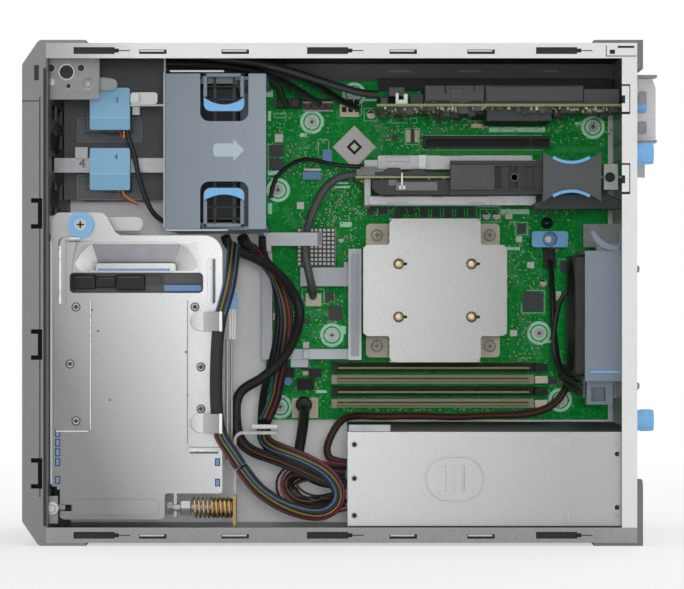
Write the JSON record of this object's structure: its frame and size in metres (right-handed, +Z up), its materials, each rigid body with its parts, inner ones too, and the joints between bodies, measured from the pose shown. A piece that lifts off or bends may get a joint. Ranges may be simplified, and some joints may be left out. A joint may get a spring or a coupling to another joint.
{
  "type": "tower server",
  "caption": "Compact upright server with its side cover off: steel case, swing-out drive cage, ducted fans, main board, cards and power supply.",
  "frame": {"origin": "middle of the footprint, on the surface the server stands on", "axes": "+X to the rear panel, +Y to the closed side (the open side faces -Y), +Z up"},
  "size_m": [0.419, 0.17, 0.3315],
  "materials": {
    "zinc_steel": "zinc-coated sheet",
    "bright_steel": "bright sheet",
    "bezel_grey": "fine grain",
    "bumper_grey": "fine grain",
    "slate_plastic": "satin",
    "touch_blue": "satin",
    "black_plastic": "satin",
    "charcoal_plastic": "satin",
    "beige_plastic": "satin",
    "board_green": "solder mask",
    "card_green": "solder mask",
    "aluminium": "brushed",
    "drive_aluminium": "cast",
    "brass": "bright",
    "screw_steel": "bright",
    "cable_black": "braided sleeve"
  },
  "bodies": {
    "chassis": {"top_panel": "zinc_steel", "bottom_panel": "zinc_steel", "side_panel": "zinc_steel", "front_panel": "zinc_steel", "rear_panel": "zinc_steel", "front_bezel": "bezel_grey", "rear_bumpers": "bumper_grey", "corner_gusset": "zinc_steel", "upper_bay": "zinc_steel", "drive_plug_lower": "touch_blue", "drive_plug_upper": "touch_blue", "front_fan_housing": "slate_plastic", "front_fan_frame": "black_plastic", "rear_fan_frame": "black_plastic", "motherboard": "board_green", "board_screws": "screw_steel", "processor_mount": "screw_steel", "heatsink": "aluminium", "heatsink_pins": "brass", "board_chips": "black_plastic", "controller_heatsink": "aluminium", "memory_sockets_beige": "beige_plastic", "memory_sockets_black": "black_plastic", "memory_modules": "card_green", "board_connectors": "black_plastic", "io_ports": "bright_steel", "expansion_cards": "card_green", "card_brackets": "bright_steel", "upper_card_shroud": "black_plastic", "card_cage": "slate_plastic", "cable_guide": "slate_plastic", "psu_case": "bright_steel", "psu_inlet": "black_plastic", "psu_cover": "bright_steel", "rear_fan_carrier": "slate_plastic", "cage_hinge": "screw_steel", "cage_spring": "brass", "main_harness": "cable_black", "board_leads": "cable_black"},
    "cage": {"cage_plate": "bright_steel", "cage_box": "zinc_steel", "cage_drives": "drive_aluminium", "cage_loom": "cable_black"},
    "cage_thumbscrew": {"cage_thumbscrew": "touch_blue"},
    "cover_screw_upper": {"cover_screw_upper": "touch_blue"},
    "cover_screw_lower": {"cover_screw_lower": "touch_blue"},
    "slot_door": {"slot_door": "zinc_steel"},
    "slot_door_screw": {"slot_door_screw": "touch_blue"},
    "front_fan_rotor": {"front_fan_rotor": "black_plastic"},
    "rear_fan_rotor": {"rear_fan_rotor": "black_plastic"},
    "front_fan_latch_upper": {"front_fan_latch_upper": "touch_blue"},
    "front_fan_latch_lower": {"front_fan_latch_lower": "touch_blue"},
    "card_retainer": {"card_retainer": "charcoal_plastic"},
    "release_lever": {"release_lever": "charcoal_plastic"},
    "memory_latch_1": {"memory_latch_1": "beige_plastic"},
    "memory_latch_2": {"memory_latch_2": "black_plastic"},
    "memory_latch_3": {"memory_latch_3": "beige_plastic"},
    "memory_latch_4": {"memory_latch_4": "black_plastic"},
    "board_plunger": {"board_plunger": "touch_blue"},
    "power_button": {"power_button": "touch_blue"}
  },
  "joints": [
    {"name": "cage_swing", "type": "hinge", "parent": "chassis", "child": "cage", "pos_m": [-0.135, -0.0725, 0.0242], "axis": [1, 0, 0], "range_deg": [0, 85]},
    {"name": "cage_screw_turn", "type": "hinge", "parent": "cage", "child": "cage_thumbscrew", "pos_m": [-0.1717, -0.0769, 0.2106], "axis": [0, 1, 0], "continuous": true},
    {"name": "upper_screw_turn", "type": "hinge", "parent": "chassis", "child": "cover_screw_upper", "pos_m": [0.199, -0.073, 0.2576], "axis": [1, 0, 0], "continuous": true},
    {"name": "lower_screw_turn", "type": "hinge", "parent": "chassis", "child": "cover_screw_lower", "pos_m": [0.199, -0.073, 0.0819], "axis": [1, 0, 0], "continuous": true},
    {"name": "slot_door_swing", "type": "hinge", "parent": "chassis", "child": "slot_door", "pos_m": [0.201, -0.046, 0.2673], "axis": [1, 0, 0], "range_deg": [0, 55]},
    {"name": "slot_screw_turn", "type": "hinge", "parent": "slot_door", "child": "slot_door_screw", "pos_m": [0.199, -0.0527, 0.2917], "axis": [1, 0, 0], "continuous": true},
    {"name": "front_fan_spin", "type": "hinge", "parent": "chassis", "child": "front_fan_rotor", "pos_m": [-0.083, -0.0045, 0.2589], "axis": [1, 0, 0], "continuous": true},
    {"name": "rear_fan_spin", "type": "hinge", "parent": "chassis", "child": "rear_fan_rotor", "pos_m": [0.167, -0.0273, 0.15055], "axis": [1, 0, 0], "continuous": true},
    {"name": "upper_bail_squeeze", "type": "slide", "parent": "chassis", "child": "front_fan_latch_upper", "axis": [0, 0, -1], "range_m": [0, 0.004], "stiffness_N_per_m": 300, "springref_m": -0.003},
    {"name": "lower_bail_squeeze", "type": "slide", "parent": "chassis", "child": "front_fan_latch_lower", "axis": [0, 0, 1], "range_m": [0, 0.004], "stiffness_N_per_m": 300, "springref_m": -0.003},
    {"name": "retainer_lift", "type": "slide", "parent": "chassis", "child": "card_retainer", "axis": [0, -1, 0], "range_m": [0, 0.02]},
    {"name": "release_slide", "type": "slide", "parent": "chassis", "child": "release_lever", "axis": [1, 0, 0], "range_m": [0, 0.004], "stiffness_N_per_m": 300, "springref_m": -0.003},
    {"name": "memory_latch_1_swing", "type": "hinge", "parent": "chassis", "child": "memory_latch_1", "pos_m": [0.1382, 0.0666, 0.0884], "axis": [0, 0, 1], "range_deg": [0, 35]},
    {"name": "memory_latch_2_swing", "type": "hinge", "parent": "chassis", "child": "memory_latch_2", "pos_m": [0.1382, 0.0666, 0.0968], "axis": [0, 0, 1], "range_deg": [0, 35]},
    {"name": "memory_latch_3_swing", "type": "hinge", "parent": "chassis", "child": "memory_latch_3", "pos_m": [0.1382, 0.0666, 0.1052], "axis": [0, 0, 1], "range_deg": [0, 35]},
    {"name": "memory_latch_4_swing", "type": "hinge", "parent": "chassis", "child": "memory_latch_4", "pos_m": [0.1382, 0.0666, 0.1136], "axis": [0, 0, 1], "range_deg": [0, 35]},
    {"name": "plunger_pull", "type": "slide", "parent": "chassis", "child": "board_plunger", "axis": [0, -1, 0], "range_m": [0, 0.005], "stiffness_N_per_m": 300, "springref_m": -0.003},
    {"name": "power_press", "type": "slide", "parent": "chassis", "child": "power_button", "axis": [1, 0, 0], "range_m": [0, 0.0025], "stiffness_N_per_m": 400, "springref_m": -0.002}
  ]
}
